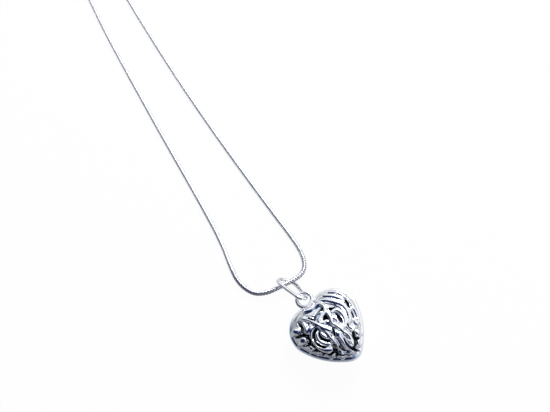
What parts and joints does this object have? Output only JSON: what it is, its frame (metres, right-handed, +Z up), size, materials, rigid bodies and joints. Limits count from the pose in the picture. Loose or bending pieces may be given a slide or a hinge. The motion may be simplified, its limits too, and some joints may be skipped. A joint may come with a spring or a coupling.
{
  "type": "heart pendant necklace",
  "caption": "Puffed filigree heart pendant on a teardrop link, on a round snake chain that closes in a lobster clasp.",
  "frame": {"origin": "centre of the pendant's footprint (heart, eye ring and link, without the chain) on the surface it lies on", "axes": "+Z up from that surface, +Y from the heart's tip to its eye and along the chain, +X to the right of the heart seen from above"},
  "size_m": [0.053, 0.217, 0.0104],
  "materials": {
    "heart_silver": "polished",
    "wire_silver": "polished",
    "chain_silver": "polished",
    "clasp_silver": "polished",
    "pin_steel": "satin"
  },
  "bodies": {
    "chain": {"snake_chain": "chain_silver", "end_cap_clasp_side": "wire_silver", "end_cap_ring_side": "wire_silver"},
    "bail": {"bail_link": "wire_silver"},
    "heart": {"heart_front_shell": "heart_silver", "heart_back_shell": "heart_silver", "heart_seam_band": "heart_silver", "eye_ring": "wire_silver"},
    "clasp_ring": {"clasp_jump_ring": "wire_silver"},
    "clasp": {"clasp_body": "clasp_silver", "lever_pin": "pin_steel", "lever_spring": "pin_steel"},
    "lever": {"clasp_lever": "clasp_silver"},
    "end_link": {"end_ring": "wire_silver"}
  },
  "joints": [
    {"name": "bail_swing", "type": "hinge", "parent": "chain", "child": "bail", "pos_m": [0.00097, 0.01201, 0.00217], "axis": [-0.9871, 0.1599, 0], "range_deg": [-15, 100]},
    {"name": "heart_swing", "type": "hinge", "parent": "bail", "child": "heart", "pos_m": [0, 0.00625, 0.0052], "axis": [0.9659, 0, 0.2588], "range_deg": [-35, 5]},
    {"name": "clasp_ring_swing", "type": "hinge", "parent": "chain", "child": "clasp_ring", "pos_m": [0.03077, 0.19869, 0.00095], "axis": [0, 0, 1], "range_deg": [-1.5, 1]},
    {"name": "clasp_swing", "type": "hinge", "parent": "clasp_ring", "child": "clasp", "pos_m": [0.0331, 0.20065, 0.0014], "axis": [0, 0, 1], "range_deg": [-1.5, 1]},
    {"name": "lever_press", "type": "hinge", "parent": "clasp", "child": "lever", "pos_m": [0.03965, 0.20071, 0.0014], "axis": [0, 0, 1], "range_deg": [-12, 0], "stiffness_Nm_per_rad": 0.0002, "springref_deg": 17.19},
    {"name": "end_ring_swing", "type": "hinge", "parent": "chain", "child": "end_link", "pos_m": [0.0429, 0.19611, 0.00095], "axis": [0, 0, 1], "range_deg": [-3, 3]}
  ]
}
